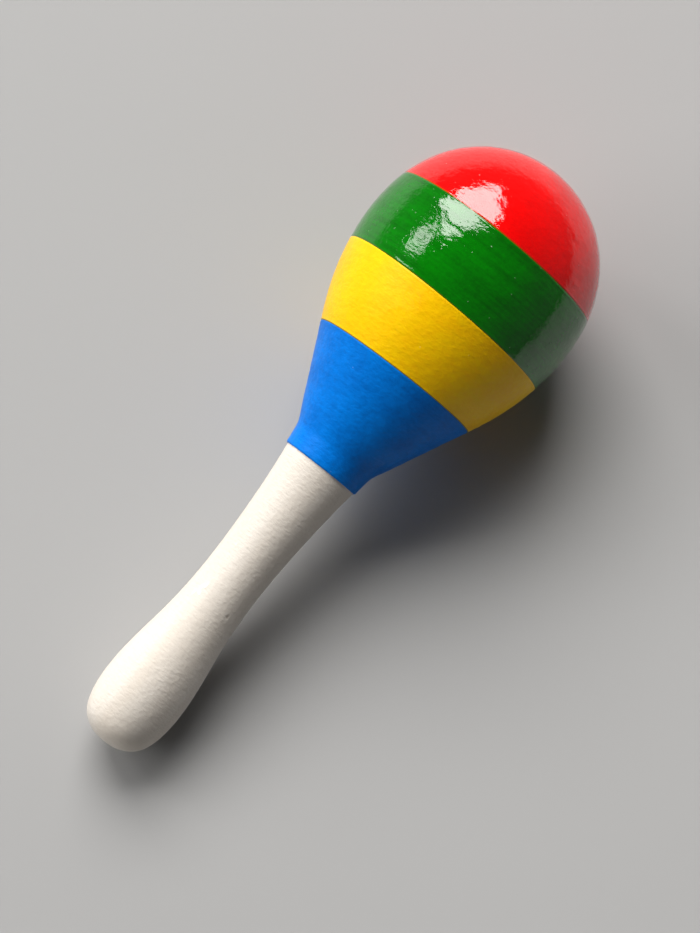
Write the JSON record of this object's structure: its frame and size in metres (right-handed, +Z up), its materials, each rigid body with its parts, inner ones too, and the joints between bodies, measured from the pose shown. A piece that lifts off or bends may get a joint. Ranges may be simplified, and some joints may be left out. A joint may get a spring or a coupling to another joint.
{
  "type": "maraca",
  "caption": "Wooden maraca lying on its side: plain turned handle with a rounded knob, hollow egg-shaped head in painted bands, with loose shot that rattles inside.",
  "frame": {"origin": "middle of the bottom of the bounding box, on the surface that the maraca lies on", "axes": "+X from the handle towards the head, +Z up; the turning axis lies in the XZ plane and rises towards the head"},
  "size_m": [0.1784, 0.0612, 0.0616],
  "materials": {
    "bare_wood": "matte",
    "head_wood": "matte",
    "enamel_blue": "satin",
    "enamel_yellow": "satin",
    "enamel_green": "gloss",
    "enamel_red": "gloss",
    "steel_shot": "satin"
  },
  "bodies": {
    "maraca": {"handle": "bare_wood", "head_bowl": "head_wood", "head_cap": "head_wood"},
    "shot_01": {"shot_01": "steel_shot"},
    "shot_02": {"shot_02": "steel_shot"},
    "shot_03": {"shot_03": "steel_shot"},
    "shot_04": {"shot_04": "steel_shot"},
    "shot_05": {"shot_05": "steel_shot"},
    "shot_06": {"shot_06": "steel_shot"},
    "shot_07": {"shot_07": "steel_shot"},
    "shot_08": {"shot_08": "steel_shot"},
    "shot_09": {"shot_09": "steel_shot"},
    "shot_10": {"shot_10": "steel_shot"},
    "shot_11": {"shot_11": "steel_shot"},
    "shot_12": {"shot_12": "steel_shot"},
    "shot_13": {"shot_13": "steel_shot"},
    "shot_14": {"shot_14": "steel_shot"},
    "shot_15": {"shot_15": "steel_shot"},
    "shot_16": {"shot_16": "steel_shot"},
    "shot_17": {"shot_17": "steel_shot"},
    "shot_18": {"shot_18": "steel_shot"},
    "shot_19": {"shot_19": "steel_shot"},
    "shot_20": {"shot_20": "steel_shot"},
    "shot_21": {"shot_21": "steel_shot"},
    "shot_22": {"shot_22": "steel_shot"},
    "shot_23": {"shot_23": "steel_shot"},
    "shot_24": {"shot_24": "steel_shot"}
  },
  "joints": [
    {"name": "shot_01_rattle", "type": "slide", "parent": "maraca", "child": "shot_01", "axis": [0, 0, 1], "range_m": [0, 0.04815]},
    {"name": "shot_02_rattle", "type": "slide", "parent": "maraca", "child": "shot_02", "axis": [0, 0, 1], "range_m": [0, 0.04716]},
    {"name": "shot_03_rattle", "type": "slide", "parent": "maraca", "child": "shot_03", "axis": [0, 0, 1], "range_m": [0, 0.04812]},
    {"name": "shot_04_rattle", "type": "slide", "parent": "maraca", "child": "shot_04", "axis": [0, 0, 1], "range_m": [0, 0.04714]},
    {"name": "shot_05_rattle", "type": "slide", "parent": "maraca", "child": "shot_05", "axis": [0, 0, 1], "range_m": [0, 0.04714]},
    {"name": "shot_06_rattle", "type": "slide", "parent": "maraca", "child": "shot_06", "axis": [0, 0, 1], "range_m": [0, 0.04768]},
    {"name": "shot_07_rattle", "type": "slide", "parent": "maraca", "child": "shot_07", "axis": [0, 0, 1], "range_m": [0, 0.04768]},
    {"name": "shot_08_rattle", "type": "slide", "parent": "maraca", "child": "shot_08", "axis": [0, 0, 1], "range_m": [0, 0.04572]},
    {"name": "shot_09_rattle", "type": "slide", "parent": "maraca", "child": "shot_09", "axis": [0, 0, 1], "range_m": [0, 0.04572]},
    {"name": "shot_10_rattle", "type": "slide", "parent": "maraca", "child": "shot_10", "axis": [0, 0, 1], "range_m": [0, 0.04535]},
    {"name": "shot_11_rattle", "type": "slide", "parent": "maraca", "child": "shot_11", "axis": [0, 0, 1], "range_m": [0, 0.04704]},
    {"name": "shot_12_rattle", "type": "slide", "parent": "maraca", "child": "shot_12", "axis": [0, 0, 1], "range_m": [0, 0.04704]},
    {"name": "shot_13_rattle", "type": "slide", "parent": "maraca", "child": "shot_13", "axis": [0, 0, 1], "range_m": [0, 0.04683]},
    {"name": "shot_14_rattle", "type": "slide", "parent": "maraca", "child": "shot_14", "axis": [0, 0, 1], "range_m": [0, 0.04565]},
    {"name": "shot_15_rattle", "type": "slide", "parent": "maraca", "child": "shot_15", "axis": [0, 0, 1], "range_m": [0, 0.04565]},
    {"name": "shot_16_rattle", "type": "slide", "parent": "maraca", "child": "shot_16", "axis": [0, 0, 1], "range_m": [0, 0.0446]},
    {"name": "shot_17_rattle", "type": "slide", "parent": "maraca", "child": "shot_17", "axis": [0, 0, 1], "range_m": [0, 0.0446]},
    {"name": "shot_18_rattle", "type": "slide", "parent": "maraca", "child": "shot_18", "axis": [0, 0, 1], "range_m": [0, 0.04345]},
    {"name": "shot_19_rattle", "type": "slide", "parent": "maraca", "child": "shot_19", "axis": [0, 0, 1], "range_m": [0, 0.04345]},
    {"name": "shot_20_rattle", "type": "slide", "parent": "maraca", "child": "shot_20", "axis": [0, 0, 1], "range_m": [0, 0.04563]},
    {"name": "shot_21_rattle", "type": "slide", "parent": "maraca", "child": "shot_21", "axis": [0, 0, 1], "range_m": [0, 0.04563]},
    {"name": "shot_22_rattle", "type": "slide", "parent": "maraca", "child": "shot_22", "axis": [0, 0, 1], "range_m": [0, 0.04267]},
    {"name": "shot_23_rattle", "type": "slide", "parent": "maraca", "child": "shot_23", "axis": [0, 0, 1], "range_m": [0, 0.04494]},
    {"name": "shot_24_rattle", "type": "slide", "parent": "maraca", "child": "shot_24", "axis": [0, 0, 1], "range_m": [0, 0.04494]}
  ]
}
